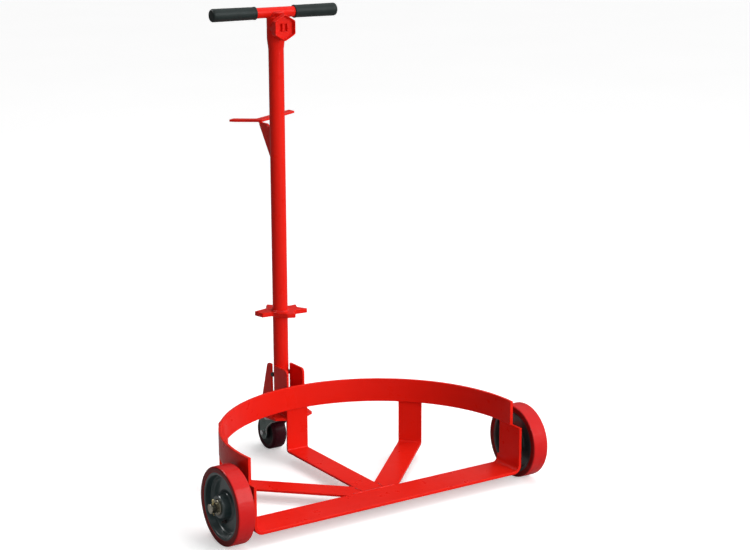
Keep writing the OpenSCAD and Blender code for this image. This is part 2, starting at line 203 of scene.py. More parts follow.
def urethane(name, base, deep, rough=0.32, coat=0.05, side=0.0):
    """Moulded elastomer: slight clouding, scuffed running face."""
    m, nt, bs, tc = new_mat(name)
    col = ramp(nt, nz(nt, tc, 11.0, 4.0), [(0.30, deep), (0.66, base)])
    scuff = ramp(nt, nz(nt, tc, 150.0, 6.0, 0.8, dist=0.6), [(0.60, 0.0), (0.74, 1.0)])
    col = mix(nt, rng(nt, scuff, 0.0, 0.20), col, tuple(min(1.0, c * 0.55 + 0.02) for c in base))
    if side:
        # the flat sides, picked by the direction the face points, get a darker base colour than the running face
        sx = nt.nodes.new("ShaderNodeSeparateXYZ")
        nt.links.new(tc.outputs["Normal"], sx.inputs[0])
        ab = nt.nodes.new("ShaderNodeMath")
        ab.operation = "ABSOLUTE"
        nt.links.new(sx.outputs[0], ab.inputs[0])
        side_tone = mix(nt, nz(nt, tc, 26.0, 4.0), tuple(c * side * 0.7 for c in base), tuple(c * side * 1.3 + 0.004 for c in base))
        col = mix(nt, rng(nt, ab.outputs[0], 0.0, 1.0, 0.45, 0.92), col, side_tone)
    nt.links.new(col, bs.inputs["Base Color"])
    nt.links.new(rng(nt, nz(nt, tc, 46.0, 5.0, 0.65), rough - 0.06, rough + 0.12), bs.inputs["Roughness"])
    nt.links.new(bump(nt, [(nz(nt, tc, 260.0, 3.0), 0.06, 0.0008), (nz(nt, tc, 40.0, 2.0), 0.08, 0.0015)]), bs.inputs["Normal"])
    bs.inputs["Specular IOR Level"].default_value = 0.08
    bs.inputs["Coat Weight"].default_value = coat
    bs.inputs["Coat Roughness"].default_value = 0.07
    return m


def rubber(name, base, deep, rough=0.5, pebble=0.3, scale=700.0):
    m, nt, bs, tc = new_mat(name)
    col = ramp(nt, nz(nt, tc, 30.0, 4.0), [(0.3, deep), (0.7, base)])
    dust = ramp(nt, nz(nt, tc, 210.0, 5.0, 0.8), [(0.62, 0.0), (0.82, 1.0)])
    col = mix(nt, rng(nt, dust, 0.0, 0.30), col, tuple(c * 1.8 + 0.01 for c in base))
    nt.links.new(col, bs.inputs["Base Color"])
    nt.links.new(rng(nt, nz(nt, tc, 90.0, 4.0), rough - 0.10, rough + 0.12), bs.inputs["Roughness"])
    nt.links.new(bump(nt, [(nz(nt, tc, scale, 2.0), pebble, 0.0005)]), bs.inputs["Normal"])
    bs.inputs["Specular IOR Level"].default_value = 0.20
    return m


RED = (0.80, 0.014, 0.006)
RED_D = (0.75, 0.011, 0.005)
M = {
    "frame": paint("frame_powder_coat", RED, RED_D),
    "handle": paint("handle_powder_coat", RED, RED_D, peel=0.06),
    "weld": weld_mat("painted_weld", RED, (0.52, 0.006, 0.005)),
    "zinc": metal("bright_zinc", (0.62, 0.63, 0.64), (0.42, 0.43, 0.44), 0.28),
    "yellow": metal("yellow_zinc", (0.78, 0.66, 0.36), (0.52, 0.42, 0.22), 0.30),
    "czinc": metal("caster_zinc", (0.165, 0.215, 0.200), (0.090, 0.125, 0.115), 0.38, metallic=0.55, spangle=0.35),
    # bright zinc for the caster's axle nut; on the fork lip the light colour against the dark fork is a painted
    # highlight along the edge
    "bright_zinc_and_edge_highlight": metal("caster_bright_zinc_and_edge_highlight", (0.50, 0.54, 0.53), (0.32, 0.35, 0.34), 0.28, metallic=0.8),
    "axle": metal("axle_steel", (0.52, 0.49, 0.40), (0.20, 0.18, 0.13), 0.20, metallic=0.95),
    "fitting": metal("fitting_steel", (0.10, 0.085, 0.08), (0.045, 0.035, 0.035), 0.30, metallic=0.8),
    "race": metal("race_steel", (0.22, 0.225, 0.23), (0.12, 0.12, 0.125), 0.40),
    "bearing": metal("ground_steel", (0.55, 0.55, 0.56), (0.38, 0.38, 0.39), 0.22),
    "seal": metal("tarnished_steel", (0.22, 0.22, 0.19), (0.12, 0.125, 0.11), 0.34, metallic=0.8),
    "tread": urethane("tread_urethane", (0.62, 0.010, 0.009), (0.54, 0.008, 0.009), rough=0.42, coat=0.25, side=0.30),
    "iron": cast("hub_casting", (0.040, 0.070, 0.072), (0.024, 0.043, 0.045), (0.080, 0.112, 0.112)),
    "ctyre": urethane("caster_tyre_rubber", (0.075, 0.009, 0.018), (0.030, 0.005, 0.009), rough=0.36, coat=0.04),
    "ccore": rubber("caster_core_plastic", (0.010, 0.009, 0.010), (0.006, 0.006, 0.006), 0.42, 0.10),
    "grip": rubber("grip_rubber", (0.016, 0.024, 0.023), (0.011, 0.017, 0.016), 0.42, 0.22, 900.0),
    "black": metal("black_oxide", (0.014, 0.013, 0.013), (0.008, 0.008, 0.008), 0.48, metallic=0.1),
}

# ---------------------------------------------------------- mesh builders


def make(name, verts, faces, mat, body, repl=(), slot=None, sharp=38.0, weighted=True, ngons=False):
    me = bpy.data.meshes.new(name)
    me.from_pydata([W(*v) for v in verts], [], faces)
    bm = bmesh.new()
    bm.from_mesh(me)
    bmesh.ops.remove_doubles(bm, verts=bm.verts, dist=2e-6)
    bmesh.ops.dissolve_degenerate(bm, dist=1e-6, edges=bm.edges)
    bmesh.ops.recalc_face_normals(bm, faces=bm.faces)
    if ngons:
        bmesh.ops.triangulate(bm, faces=[f for f in bm.faces if len(f.verts) > 4])
    bm.to_mesh(me)
    bm.free()
    return finish_obj(name, me, mat, body, repl, slot, sharp, weighted)


def finish_obj(name, me, mat, body, repl=(), slot=None, sharp=38.0, weighted=True):
    for p in me.polygons:
        p.use_smooth = True
    me.set_sharp_from_angle(angle=rad(sharp))
    me.materials.clear()
    me.materials.append(mat)
    o = bpy.data.objects.new(name, me)
    COLL.objects.link(o)
    if weighted:
        w = o.modifiers.new("weighted", "WEIGHTED_NORMAL")
        w.keep_sharp = True
        w.weight = 80
    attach(o, body)
    if repl:
        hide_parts(*repl)
    return o


def area2(poly):
    return sum(poly[i][0] * poly[(i + 1) % len(poly)][1] - poly[(i + 1) % len(poly)][0] * poly[i][1] for i in range(len(poly)))


def rounded(poly, r, n=5):
    """The outline with each corner rounded; r is one radius or one per corner."""
    out = []
    k = len(poly)
    for i in range(k):
        p = Vector(poly[i]); a = Vector(poly[i - 1]); b = Vector(poly[(i + 1) % k])
        ri = r[i] if isinstance(r, (list, tuple)) else r
        u = a - p; v = b - p
        lu, lv = u.length, v.length
        if ri <= 0 or lu < 1e-6 or lv < 1e-6:
            out.append(tuple(p)); continue
        u /= lu; v /= lv
        c = max(-0.9999, min(0.9999, u.dot(v)))
        th = math.acos(c)
        if pi - th < rad(4):
            out.append(tuple(p)); continue
        d = ri / math.tan(th / 2)
        d = min(d, 0.46 * lu, 0.46 * lv)
        rr = d * math.tan(th / 2)
        m = (u + v).normalized()
        cen = p + m * (rr / sin(th / 2))
        s = p + u * d - cen; e = p + v * d - cen
        a0 = math.atan2(s.y, s.x); a1 = math.atan2(e.y, e.x)
        da = (a1 - a0 + pi) % (2 * pi) - pi
        for j in range(n + 1):
            t = a0 + da * j / n
            out.append((cen.x + rr * cos(t), cen.y + rr * sin(t)))
    return out


def inset(poly, d):
    """Moves the outline inwards by d (the outline runs anticlockwise)."""
    k = len(poly); out = []
    for i in range(k):
        p = Vector(poly[i]); a = Vector(poly[i - 1]); b = Vector(poly[(i + 1) % k])
        e1 = (p - a); e2 = (b - p)
        if e1.length < 1e-9 or e2.length < 1e-9:
            out.append(tuple(p)); continue
        n1 = Vector((-e1.y, e1.x)).normalized(); n2 = Vector((-e2.y, e2.x)).normalized()
        m = n1 + n2
        if m.length < 1e-6:
            m = n1
        m.normalize()
        s = 1.0 / max(0.5, m.dot(n1))
        out.append((p.x + m.x * d * s, p.y + m.y * d * s))
    return out


def prism(name, poly, place, h0, h1, mat, body, b=0.8, seg=3, **kw):
    """A plate from an outline, every edge rounded by b. place(u, v, h) -> x, y, z."""
    if area2(poly) < 0:
        poly = poly[::-1]
    prof = []
    for j in range(seg + 1):
        t = (pi / 2) * j / seg
        prof.append((b * (1 - sin(t)), h0 + b * (1 - cos(t))))
    for j in range(seg + 1):
        t = (pi / 2) * (1 - j / seg)
        prof.append((b * (1 - sin(t)), h1 - b * (1 - cos(t))))
    verts, faces = [], []
    k = len(poly)
    for d, h in prof:
        for p in inset(poly, d):
            verts.append(place(p[0], p[1], h))
    for i in range(len(prof) - 1):
        for j in range(k):
            a = i * k + j; c = i * k + (j + 1) % k
            faces.append((a, c, c + k, a + k))
    faces.append(tuple(range(k))[::-1])
    faces.append(tuple(range((len(prof) - 1) * k, len(prof) * k)))
    return make(name, verts, faces, mat, body, ngons=True, **kw)


def lathe(name, prof, axis, c, mat, body, n=96, a0=0.0, a1=360.0, sign=1, **kw):
    """Turns a closed outline of (radius, station) about an axis through c."""
    full = abs(a1 - a0) >= 359.9
    m = n if full else n + 1
    verts, faces = [], []
    for i in range(m):
        t = rad(a0 + (a1 - a0) * i / n)
        for r, h in prof:
            h = h * sign
            if axis == "x":
                verts.append((c[0] + h, c[1] + r * cos(t), c[2] + r * sin(t)))
            elif axis == "y":
                verts.append((c[0] + r * cos(t), c[1] + h, c[2] + r * sin(t)))
            else:
                verts.append((c[0] + r * cos(t), c[1] + r * sin(t), c[2] + h))
    k = len(prof)
    for i in range(n):
        for j in range(k):
            a = i * k + j; b2 = i * k + (j + 1) % k
            c2 = ((i + 1) % m) * k + (j + 1) % k; d2 = ((i + 1) % m) * k + j
            faces.append((a, b2, c2, d2))
    if not full:
        faces.append(tuple(range(k)))
        faces.append(tuple(range((m - 1) * k, m * k))[::-1])
    return make(name, verts, faces, mat, body, ngons=not full, **kw)


def section(wd, t, r=1.0, n=3, nw=1):
    """Closed outline of a flat bar's section: (w, t) points, edges rounded."""
    pts = []
    def arc(cx, cy, s):
        for j in range(n + 1):
            a = rad(s + 90.0 * j / n)
            pts.append((cx + r * cos(a), cy + r * sin(a)))
    hw, ht = wd / 2 - r, t / 2 - r
    arc(hw, ht, 0)
    for j in range(1, nw):
        pts.append((hw - 2 * hw * j / nw, t / 2))
    arc(-hw, ht, 90)
    arc(-hw, -ht, 180)
    for j in range(1, nw):
        pts.append((-hw + 2 * hw * j / nw, -t / 2))
    arc(hw, -ht, 270)
    return pts


def bar(name, path, place, sec, mat, body, start=None, wlim=None, **kw):
    """A flat bar along a plane path. path: (a, b, na, nb); place(a, b, w) -> x, y, z.
    start(w) gives where a slanted first end lies along a."""
    verts, faces = [], []
    k = len(sec)
    wmax = max(q[0] for q in sec)
    for i, (a, b, na, nb) in enumerate(path):
        for w, t in sec:
            aa = start(w) if (i == 0 and start) else a
            ww = w + wlim(b) * max(0.0, w) / wmax if wlim else w
            verts.append(place(aa + na * t, b + nb * t, ww))
    for i in range(len(path) - 1):
        for j in range(k):
            p = i * k + j; q = i * k + (j + 1) % k
            faces.append((p, q, q + k, p + k))
    faces.append(tuple(range(k))[::-1])
    faces.append(tuple(range((len(path) - 1) * k, len(path) * k)))
    return make(name, verts, faces, mat, body, ngons=True, **kw)


def tube_mesh(verts, faces, pts, rfun, n=10, closed=False, flat=1.0, up=Vector((0, 0, 1))):
    """Appends a swept round section along 3-D points to verts and faces."""
    base = len(verts)
    m = len(pts)
    P = [Vector(p) for p in pts]
    frames = []
    ref = None
    for i in range(m):
        if closed:
            t = P[(i + 1) % m] - P[i - 1]
        else:
            t = P[min(i + 1, m - 1)] - P[max(i - 1, 0)]
        t.normalize()
        if ref is None:
            ref = up - t * up.dot(t)
            if ref.length < 1e-3:
                ref = Vector((1, 0, 0)) - t * t.x
        else:
            ref = ref - t * ref.dot(t)
        ref.normalize()
        frames.append((t, ref.copy(), t.cross(ref)))
    for i in range(m):
        r = rfun(i / (m - 1.0), i)
        t, u, v = frames[i]
        for j in range(n):
            a = 2 * pi * j / n
            verts.append(tuple(P[i] + u * (r * cos(a) * flat) + v * (r * sin(a))))
    segs = m if closed else m - 1
    for i in range(segs):
        for j in range(n):
            a = base + i * n + j; b = base + i * n + (j + 1) % n
            c = base + ((i + 1) % m) * n + (j + 1) % n; d = base + ((i + 1) % m) * n + j
            faces.append((a, b, c, d))
    if not closed:
        faces.append(tuple(range(base, base + n))[::-1])
        faces.append(tuple(range(base + (m - 1) * n, base + m * n)))


def resample(pts, step, closed=False):
    P = [Vector(p) for p in pts]
    if closed:
        P.append(P[0])
    L = [0.0]
    for i in range(1, len(P)):
        L.append(L[-1] + (P[i] - P[i - 1]).length)
    total = L[-1]
    n = max(3, int(total / step))
    out = []
    j = 0
    for i in range(n + (0 if closed else 1)):
        s = total * i / n
        while j < len(L) - 2 and L[j + 1] < s:
            j += 1
        f = (s - L[j]) / max(1e-9, L[j + 1] - L[j])
        out.append(P[j].lerp(P[j + 1], min(1.0, max(0.0, f))))
    return out


def weld(verts, faces, pts, r=2.6, closed=False, pitch=2.6, seed=0.0):
    """One welded bead: overlapping ripples, slightly uneven, tapered ends."""
    Q = resample(pts, 0.65, closed)
    m = len(Q)
    total = sum((Q[i] - Q[i - 1]).length for i in range(1, m))
    out = []
    for i, q in enumerate(Q):
        nzv = noise.noise_vector(Vector((q.x, q.y, q.z)) * 0.11 + Vector((seed, seed, seed)))
        out.append(q + nzv * (0.16 * r))
    def rf(t, i):
        s = total * i / max(1, m - 1)
        ph = (s / pitch) % 1.0
        rip = 0.12 * (1.0 - ph) * min(1.0, ph * 5)
        nn = 0.10 * noise.noise(Vector((s * 0.09 + seed, seed, 1.7)))
        e = 1.0
        if not closed:
            d = min(s, total - s)
            e = min(1.0, 0.25 + math.sqrt(max(0.0, d / (1.6 * r)))) if d < 1.6 * r else 1.0
        return r * (0.90 + rip + nn) * e
    tube_mesh(verts, faces, out, rf, n=10, closed=closed)


def hexagon(af, start=0.0):
    R = af / math.sqrt(3)
    return [(R * cos(rad(start + 60 * i)), R * sin(rad(start + 60 * i))) for i in range(6)]


def turned_hex(name, c, axis, sign, h0, h1, af, mat, body, start=0.0, crown=True, hole=0.0, **kw):
    """A hexagonal nut or bolt head, its outer face chamfered as by a lathe."""
    n = 72
    R = af / math.sqrt(3)
    def rim(t):
        u = (t - start + 30) % 60 - 30
        return (af / 2) / cos(rad(u))
    verts, faces = [], []
    rows = []
    ch = 0.30 * (R - af / 2) / 0.155 * 0.30
    for kind in ("hole0", "bot", "side0", "side1", "top", "hole1"):
        row = []
        for i in range(n):
            t = 360.0 * i / n
            rr = rim(t)
            over = rr - af / 2 * 0.985
            drop = max(0.0, over) * 0.58
            if kind == "hole0":
                r, h = hole, h0
            elif kind == "bot":
                r, h = rr - 0.25, h0
            elif kind == "side0":
                r, h = rr, h0 + 0.25
            elif kind == "side1":
                r, h = rr, h1 - drop - 0.1
            elif kind == "top":
                r, h = af / 2 * 0.95, h1
            else:
                r, h = hole, h1
            h *= sign
            a, b2 = r * cos(rad(t)), r * sin(rad(t))
            if axis == "x":
                row.append((c[0] + h, c[1] + a, c[2] + b2))
            elif axis == "y":
                row.append((c[0] + a, c[1] + h, c[2] + b2))
            else:
                row.append((c[0] + a, c[1] + b2, c[2] + h))
        rows.append(row)
    for row in rows:
        verts += row
    for i in range(len(rows) - 1):
        for j in range(n):
            faces.append((i * n + j, i * n + (j + 1) % n, (i + 1) * n + (j + 1) % n, (i + 1) * n + j))
    if hole > 0:
        i = len(rows) - 1
        for j in range(n):
            faces.append((i * n + j, i * n + (j + 1) % n, (j + 1) % n, j))
    return verts, faces


def merge(name, parts, mat, body, **kw):
    V, F = [], []
    for v, f in parts:
        o = len(V)
        V += v
        F += [tuple(i + o for i in t) for t in f]
    return make(name, V, F, mat, body, **kw)


def lathe_raw(prof, axis, c, n=48, sign=1):
    verts, faces = [], []
    for i in range(n):
        t = 2 * pi * i / n
        for r, h in prof:
            h = h * sign
            if axis == "x":
                verts.append((c[0] + h, c[1] + r * cos(t), c[2] + r * sin(t)))
            elif axis == "y":
                verts.append((c[0] + r * cos(t), c[1] + h, c[2] + r * sin(t)))
            else:
                verts.append((c[0] + r * cos(t), c[1] + r * sin(t), c[2] + h))
    k = len(prof)
    for i in range(n):
        for j in range(k):
            faces.append((i * k + j, i * k + (j + 1) % k, ((i + 1) % n) * k + (j + 1) % k, ((i + 1) % n) * k + j))
    return verts, faces


# ---------------------------------------------------------------- measures
RI, RO = 311.0, 317.35            # ring band
BAND_Z0, BAND_Z1 = 121.3, 172.1
BAR_F, BAR_R = -59.5, 16.7        # crossbar's front and rear edges
BAR_TOP, BAR_T = 29.0, 6.35
AX_Y, WH_R = -10.0, 77.2
WMID = 347.25
HW = 18.25
HUBH = 21.0
STRAP_W, STRAP_T = 51.0, 5.0
PLATE_Z, PLATE_T = 95.0, 6.0
POST_Y, KING_Y = 384.0, 402.0
CAX_Y, CR = 429.0, 38.5
STRAP_BACK = RO + STRAP_T - 0.6
TB_Z, TB_R, TB_HALF, GRIP_R = 960.8, 11.0, 147.8, 13.6
TB_OFF, GRIP_IN = -3.0, 45.5
POST_R, POST_RI = 16.2, 12.83
HEX_Z = 931.5
PIN_Z = 183.0

# ---------------------------------------------------------------- the ring
def r_prof(r0, r1, h0, h1, e=1.1, n=4):
    return rounded([(r0, h0), (r1, h0), (r1, h1), (r0, h1)], e, n)

lathe("ring_band_v", r_prof(RI, RO, BAND_Z0, BAND_Z1, 1.2), "z", (0, 0, 0), M["frame"], "frame",
      n=220, a0=-5.4, a1=186.5, repl=["ring_band"], slot="frame_paint")

# crossbar and side plates: one flat bar with two bends
def yoke_path():
    rc = 12 + BAR_T / 2
    zc = BAR_TOP - BAR_T / 2
    xc = RI + BAR_T / 2
    path = [(-xc, BAND_Z0, 1.0, 0.0)]
    for zz in (60.0, 49.5, 48.0, 46.5):
        path.append((-xc, zz, 1.0, 0.0))
    for i in range(11):
        a = rad(180 + 90 * i / 10)
        path.append((-xc + rc + rc * cos(a), zc + rc + rc * sin(a), -cos(a), -sin(a)))
    for i in range(1, 12):
        x = -xc + rc + (2 * xc - 2 * rc) * i / 12
        path.append((x, zc, 0.0, 1.0))
    for i in range(11):
        a = rad(270 + 90 * i / 10)
        path.append((xc - rc + rc * cos(a), zc + rc + rc * sin(a), -cos(a), -sin(a)))
    for zz in (46.5, 48.0, 49.5, 60.0):
        path.append((xc, zz, -1.0, 0.0))
    path.append((xc, BAND_Z0, -1.0, 0.0))
    return path

YC = (BAR_F + BAR_R) / 2
bar("crossbar_yoke_v", yoke_path(), lambda a, b, w: (a, YC + w, b), section(76.2, BAR_T, 1.1, 4), M["frame"], "frame",
    wlim=lambda b: -7.5 * min(1.0, max(0.0, (b - 46.5) / 3.0)), repl=["crossbar_yoke"], slot="frame_paint")

# straps
def strap_path(a0, ro, top=BAND_Z1 - 8.0, rb=5.5):
    zc = BAR_TOP - STRAP_T / 2
    ac = ro - STRAP_T / 2
    p = [(a0, zc, 0.0, 1.0), (ac - rb - 6, zc, 0.0, 1.0)]
    for i in range(9):
        t = rad(270 + 90 * i / 8)
        p.append((ac - rb + rb * cos(t), zc + rb + rb * sin(t), -cos(t), -sin(t)))
    p.append((ac, zc + rb + 6, -1.0, 0.0))
    p.append((ac, top, -1.0, 0.0))
    return p

bar("strap_centre_v", strap_path(BAR_R - 0.0, STRAP_BACK), lambda a, b, w: (w, a, b), section(STRAP_W, STRAP_T, 0.9, 3), M["frame"], "frame",
    repl=["strap_centre"], slot="frame_paint")

ANG_L, ANG_R = 45.6, 44.8
CONV = -8.0
def side_ro(ang):
    c = -CONV * cos(rad(ang)); h = -CONV * sin(rad(ang))
    return math.sqrt(RO ** 2 - h ** 2) + c + STRAP_T - 0.6

for s, nm, ANG in ((-1, "left", ANG_L), (1, "right", ANG_R)):
    ca, sa = cos(rad(ANG)), sin(rad(ANG))
    def place(a, b, w, s=s, ca=ca, sa=sa):
        # along the strap: direction (s*sin, cos); w to its right
        return (s * (a * sa) + w * ca, CONV + a * ca - s * w * sa, b)
    def start(w, s=s, ca=ca, sa=sa):
        # where the line at w leaves the crossbar's rear edge and the centre strap's edge
        a1 = (BAR_R - CONV + s * w * sa) / ca
        a2 = (STRAP_W / 2 - s * w * ca) / sa
        return max(a1, a2)
    bar("strap_%s_v" % nm, strap_path(20, side_ro(ANG)), place, section(STRAP_W, STRAP_T, 0.9, 3, nw=26), M["frame"], "frame",
        start=start, repl=["strap_%s" % nm], slot="frame_paint")

# caster mount plate
mp = [(-26, STRAP_BACK), (26, STRAP_BACK), (46, STRAP_BACK + 10.5), (51, STRAP_BACK + 43), (51, KING_Y + 45), (-51, KING_Y + 45), (-51, STRAP_BACK + 43), (-46, STRAP_BACK + 10.5)]
prism("caster_mount_plate_v", rounded(mp, [1.2, 1.2, 2, 14, 8, 8, 14, 2], 5), lambda u, v, h: (u, v, h), PLATE_Z, PLATE_Z + PLATE_T,
      M["frame"], "frame", b=0.8, repl=["caster_mount_plate"], slot="frame_paint")

# slotted cheek plates
CT = 205.0
for s, nm in ((-1, "left"), (1, "right")):
    x0, x1 = (-22.0, -17.0) if s < 0 else (17.0, 22.0)
    zs = PLATE_Z + 46
    pts = [(STRAP_BACK, PLATE_Z + PLATE_T), (STRAP_BACK, CT), (POST_Y - 5.5, CT)]
    slot_bot = [(POST_Y + 5.5 * cos(rad(a)), zs + 5.5 * sin(rad(a))) for a in range(180, 361, 15)]
    outline = rounded([(STRAP_BACK, PLATE_Z + PLATE_T), (STRAP_BACK, CT), (POST_Y - 5.5, CT)], [1, 9, 1.2], 6)
    tail = rounded([(POST_Y + 5.5, CT), (POST_Y + 22.3, CT), (POST_Y + 54, PLATE_Z + PLATE_T)], [1.2, 9, 1.5], 6)
    # keep the rounding of open chains honest: their end corners stay square
    chain = [(STRAP_BACK, PLATE_Z + PLATE_T)] + [p for p in outline if p[1] > 150] + slot_bot + [p for p in tail if p[1] > 150] + [(POST_Y + 54, PLATE_Z + PLATE_T)]
    prism("cheek_%s_v" % nm, chain, lambda u, v, h: (h, u, v), x0, x1, M["frame"], "frame", b=0.8, repl=["cheek_%s" % nm], slot="frame_paint")

# spigot under the post
lathe("handle_spigot_v", rounded([(0, 0), (POST_RI - 0.08, 0), (POST_RI - 0.08, 62), (POST_RI - 5, 68), (0, 68)], [0, 0, 2, 1.5, 0], 4), "z",
      (0, POST_Y, PLATE_Z + PLATE_T), M["frame"], "frame", n=64, repl=["handle_spigot"], slot="frame_paint")

# ------------------------------------------------------ axles and wheels
for s, nm in ((-1, "left"), (1, "right")):
    body = "wheel_" + nm
    c = (0.0, AX_Y, WH_R)
    # axle: ground shank, chamfered end
    lathe("axle_%s_v" % nm, rounded([(0, RI + 0.5), (9.5, RI + 0.5), (9.5, 385.0), (8.3, 385.0), (0, 385.0)], [0, 0.3, 1.4, 0.2, 0], 4), "x", c, M["axle"], "frame",
          n=64, sign=s, repl=["axle_%s" % nm], slot="zinc_steel")
    lathe("axle_collar_%s_v" % nm, rounded([(9.5, RO), (15, RO), (15, WMID - HUBH - 0.4), (9.5, WMID - HUBH - 0.4)], 0.7, 3), "x", c, M["frame"], "frame",
          n=64, sign=s, repl=["axle_collar_%s" % nm], slot="frame_paint")
    lathe("axle_washer_%s_v" % nm, rounded([(9.5, WMID + HUBH + 0.6), (15.5, WMID + HUBH + 0.6), (15.5, WMID + HUBH + 3.2), (9.5, WMID + HUBH + 3.2)], [0.4, 0.4, 1.1, 0.4], 4), "x", c,
          M["axle"], "frame", n=72, sign=s, repl=["axle_washer_%s" % nm], slot="zinc_steel")
    # split pin: an eye and two legs, one bent round the axle
    V, F = [], []
    xc = s * 378.0
    eye = [(xc, AX_Y + 3.0 * sin(a), WH_R + 13.4 + 3.4 * cos(a)) for a in [rad(200 + 320 * i / 16) for i in range(17)]]
    leg1 = [eye[-1], (xc, AX_Y + 0.9, WH_R + 9.5), (xc, AX_Y + 0.9, WH_R - 9.5), (xc, AX_Y + 2.0, WH_R - 11.0), (xc, AX_Y + 6.4, WH_R - 12.2)]
    leg0 = [eye[0], (xc, AX_Y - 0.9, WH_R + 9.5), (xc, AX_Y - 0.9, WH_R - 9.5), (xc, AX_Y - 1.8, WH_R - 11.2), (xc + s * 1.5, AX_Y - 5.0, WH_R - 12.3)]
    tube_mesh(V, F, resample(eye, 0.8), lambda t, i: 1.0, n=10, up=Vector((1, 0, 0)))
    for leg in (leg0, leg1):
        tube_mesh(V, F, resample(leg, 0.8), lambda t, i: 1.05, n=10, up=Vector((1, 0, 0)))
    make("cotter_pin_%s_v" % nm, V, F, M["yellow"], "frame", repl=["cotter_pin_%s" % nm], slot="yellow_zinc", weighted=False)

    # tread: rounded shoulders and a moulding line
    cw = (s * WMID, AX_Y, WH_R)
    tp = [(65.6, -HW + 0.6), (67.5, -HW + 0.15)]
    tp += [(WH_R - 3.5 + 3.5 * sin(rad(a)), -HW + 3.5 - 3.5 * cos(rad(a))) for a in range(0, 91, 11)]
    tp += [(WH_R, -6.0), (WH_R, -0.45), (WH_R - 0.15, -0.15), (WH_R - 0.15, 0.15), (WH_R, 0.45), (WH_R, 6.0)]
    tp += [(WH_R - 3.5 + 3.5 * cos(rad(a)), HW - 3.5 + 3.5 * sin(rad(a))) for a in range(2, 91, 11)]
    tp += [(67.5, HW - 0.15), (65.6, HW - 0.6)]
    lathe("tread_%s_v" % nm, tp, "x", cw, M["tread"], body, n=160, sign=s, sharp=60, repl=["tread_%s" % nm], slot="tread_polyurethane")
    # cast hub: rolled rim, drafted wall, ledge, dished web, tapered boss
    hp = [(16, -21), (21, -21), (22.5, -19.5), (25, -4.5), (31, -3.4), (52.5, -3.4), (57.5, -6), (60.0, -15.6), (61.6, -16.8), (66, -16.8),
          (66, 16.8), (61.8, 16.8), (60.2, 15.6), (57.8, 5.6), (56.6, 4.6), (55.0, 4.6), (53.8, 3.0), (51.6, 1.0), (31, 2.0), (26.0, 4.6), (22.7, 18.6), (21.4, 21), (16, 21)]
    rr = [0.3, 1, 1, 3, 3, 3, 3, 1, 0.8, 0.3, 0.3, 0.9, 1.4, 0.8, 0.5, 0.8, 0.8, 2.4, 6, 3.4, 1.6, 1.2, 0.3]
    lathe("hub_%s_v" % nm, rounded(hp, rr, 4), "x", cw, M["iron"], body, n=128, sign=s, sharp=50, repl=["hub_%s" % nm], slot="hub_iron")
    # bearing with recessed end caps
    parts = [lathe_raw(rounded([(9.56, -20.0), (16, -20.0), (16, 20.0), (9.56, 20.0)], 0.4, 2), "x", cw, 64, s)]
    merge("bearing_%s_v" % nm, parts, M["bearing"], body, repl=["bearing_%s" % nm], slot="bearing_steel")
    sp = []
    for d in (-1, 1):
        sp.append(lathe_raw(rounded([(9.7, d * 20.0), (15.95, d * 20.0), (15.95, d * 20.9), (14.9, d * 21.15), (13.8, d * 20.6), (11.2, d * 20.6), (10.3, d * 21.1), (9.7, d * 20.9)], 0.25, 2), "x", cw, 64, s))
    merge("bearing_seal_%s_v" % nm, sp, M["seal"], body, repl=["bearing_seal_%s" % nm], slot="seal_steel")
    # grease fitting low on the web
    gc = (s * WMID, AX_Y + 4.0, WH_R - 34.0)
    g = [lathe_raw(rounded([(0, -1.0), (3.1, -1.0), (3.1, 3.6), (0, 3.6)], 0.2, 2), "x", gc, 24, s),
         turned_hex("", gc, "x", s, 3.6, 6.6, 7.6, None, None),
         lathe_raw(rounded([(0, 6.5), (2.9, 6.5), (2.6, 7.5), (1.9, 9.2), (1.7, 10.0), (2.5, 10.6), (2.5, 11.2), (1.9, 11.6), (0, 11.6)], 0.2, 2), "x", gc, 24, s)]
    merge("grease_fitting_%s_v" % nm, g, M["fitting"], body, repl=["grease_fitting_%s" % nm], slot="zinc_steel")

# --------------------------------------------------------- swivel caster
kc = (0, KING_Y, 0)
tpl = rounded([(40.5 + 7, 33.5), (-47.5, 33.5), (-47.5, -33.5), (47.5, -33.5)], 7, 6)
V0 = prism("caster_top_plate_v", [(x, KING_Y + y) for x, y in tpl], lambda u, v, h: (u, v, h), PLATE_Z - 3, PLATE_Z - 0.02, M["czinc"], "frame", b=0.6,
           repl=["caster_top_plate"], slot="caster_zinc")
lathe("caster_top_race_v", rounded([(6.0, 87.0), (23, 87.0), (26, PLATE_Z - 2.6), (6.0, PLATE_Z - 2.6)], [0.2, 2.4, 0.6, 0.2], 5), "z", kc, M["czinc"], "frame", n=72, slot="caster_zinc")
lathe("caster_kingpin_v", rounded([(0, 75), (7, 75), (9, 76.2), (9, 77.9), (6, 77.9), (6, 96.3), (0, 96.3)], [0, 0.8, 0.5, 0.3, 0.2, 0.2, 0], 3), "z", kc, M["czinc"], "frame",
      n=48, repl=["caster_kingpin"], slot="caster_zinc")
bolts, nuts, washers = [], [], []
for sx in (-1, 1):
    for sy in (-1, 1):
        bc = (sx * 38.0, KING_Y + sy * 22.0, 0)
        st = 17 * sx + 11 * sy
        bolts.append(lathe_raw(rounded([(0, 85), (4, 85), (4, 102.2), (0, 102.2)], [0, 0.8, 0.2, 0], 3), "z", bc, 28))
        bolts.append(turned_hex("", bc, "z", 1, 102.2, 107.4, 12.8, None, None, start=st))
        nuts.append(turned_hex("", bc, "z", -1, -92.0, -85.8, 12.8, None, None, start=st + 20, hole=4.05))
        washers.append(lathe_raw(rounded([(4.1, 101.0), (8, 101.0), (8, 102.2), (4.1, 102.2)], 0.3, 2), "z", bc, 40))
merge("caster_bolts_v", bolts, M["zinc"], "frame", repl=["caster_bolts"], slot="zinc_steel")
merge("caster_bolt_nuts_v", nuts, M["zinc"], "frame", repl=["caster_bolt_nuts"], slot="zinc_steel")
